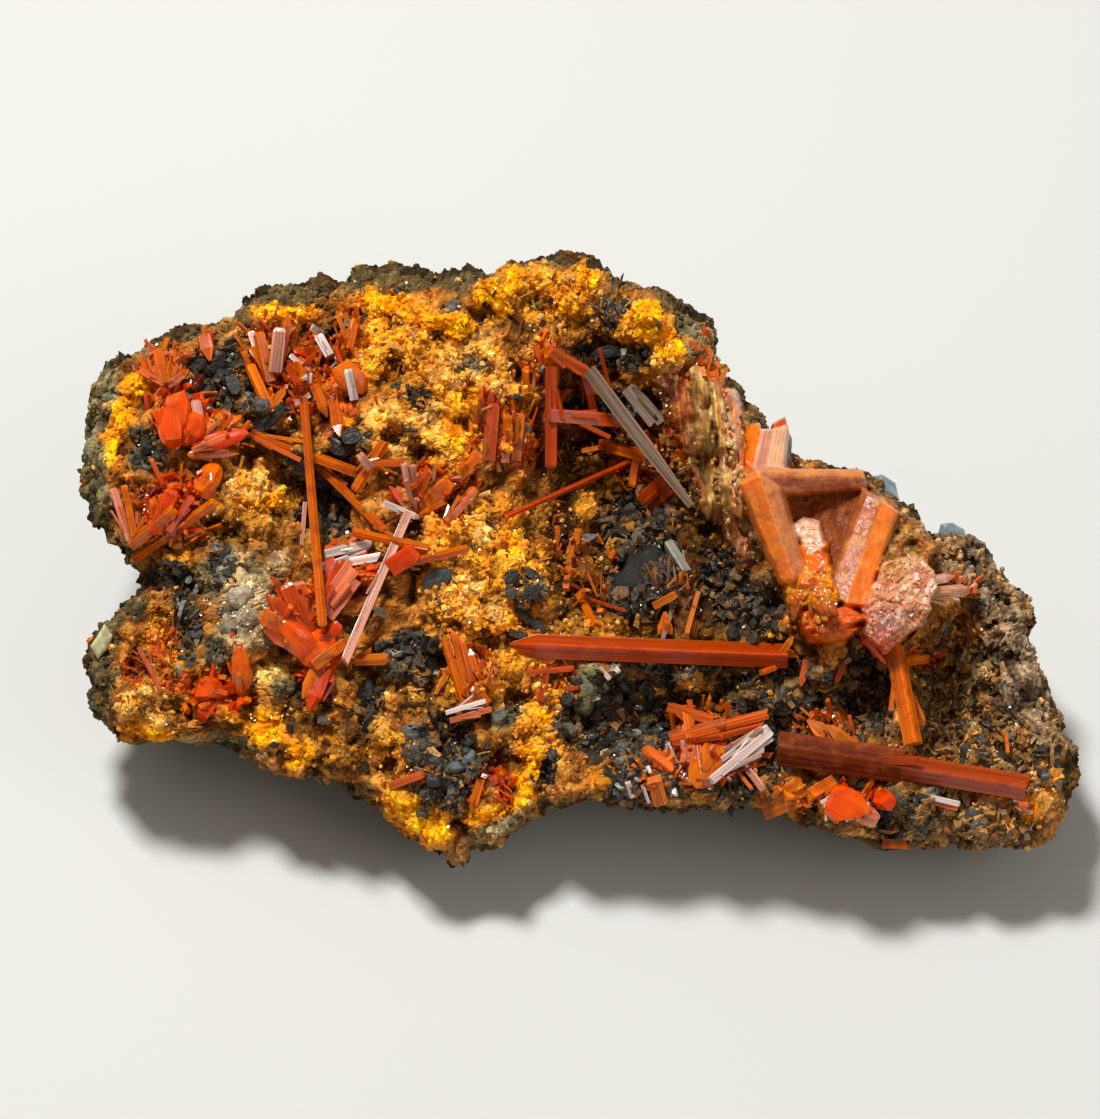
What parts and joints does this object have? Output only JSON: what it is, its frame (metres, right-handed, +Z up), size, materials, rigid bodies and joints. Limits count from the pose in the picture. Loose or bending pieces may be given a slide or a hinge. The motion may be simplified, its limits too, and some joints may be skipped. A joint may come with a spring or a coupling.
{
  "type": "crocoite specimen",
  "caption": "Cabinet specimen of crocoite: red-orange prismatic crystals, blades and skeletal clusters standing on a rough brown and ochre gossan matrix with a flat base.",
  "frame": {"origin": "on the floor under the middle of the bounding box", "axes": "+X along the specimen's length, +Y from the low front to the high back, +Z up from the flat base"},
  "size_m": [0.1004, 0.0624, 0.0367],
  "materials": {
    "gossan": "rough, granular, iron-stained",
    "crocoite": "adamantine, striated along the prisms",
    "weathered_crocoite": "dull, etched, grey-brown",
    "pale_chip": "smooth, waxy",
    "blue_chip": "glassy, chipped"
  },
  "bodies": {
    "root": {"matrix": "gossan", "long_prism": "crocoite", "lower_prism": "crocoite", "box_cluster": "crocoite", "wall_slabs": "weathered_crocoite", "upright_prism": "crocoite", "cross_prisms": "crocoite", "slant_prism": "crocoite", "crossed_pair": "crocoite", "mid_cluster": "crocoite", "amber_blade_upper": "crocoite", "amber_blade_lower": "crocoite", "slope_bundle": "crocoite", "pocket_frame": "crocoite", "weathered_prism": "weathered_crocoite", "grey_blade": "weathered_crocoite", "slender_prism": "crocoite", "red_plate": "crocoite", "centre_spray": "crocoite", "glassy_sheaf": "crocoite", "red_fan": "crocoite", "amber_stub": "crocoite", "orange_sheaf": "crocoite", "left_cluster": "crocoite", "left_blob": "crocoite", "lower_left_spray": "crocoite", "top_left_cluster": "crocoite", "brown_wedge": "crocoite", "dark_cubes": "crocoite", "top_cluster": "crocoite", "top_cluster_low": "crocoite", "white_rod": "crocoite", "striated_block": "crocoite", "amber_slab_left": "crocoite", "amber_slab_right": "crocoite", "upper_prism": "crocoite", "right_block": "crocoite", "front_sheaf": "crocoite", "salmon_rubble": "crocoite", "amber_plate": "crocoite", "front_cluster": "crocoite", "knob": "crocoite", "amber_block": "crocoite", "ridge_blades": "crocoite", "red_chunks": "crocoite", "thin_blade": "crocoite", "slim_prism": "crocoite", "spike": "crocoite", "grey_crystal": "weathered_crocoite", "under_prisms": "crocoite", "red_pair": "crocoite", "pale_chip": "pale_chip", "blue_chip_upper": "blue_chip", "blue_chip_lower": "blue_chip"}
  },
  "joints": []
}
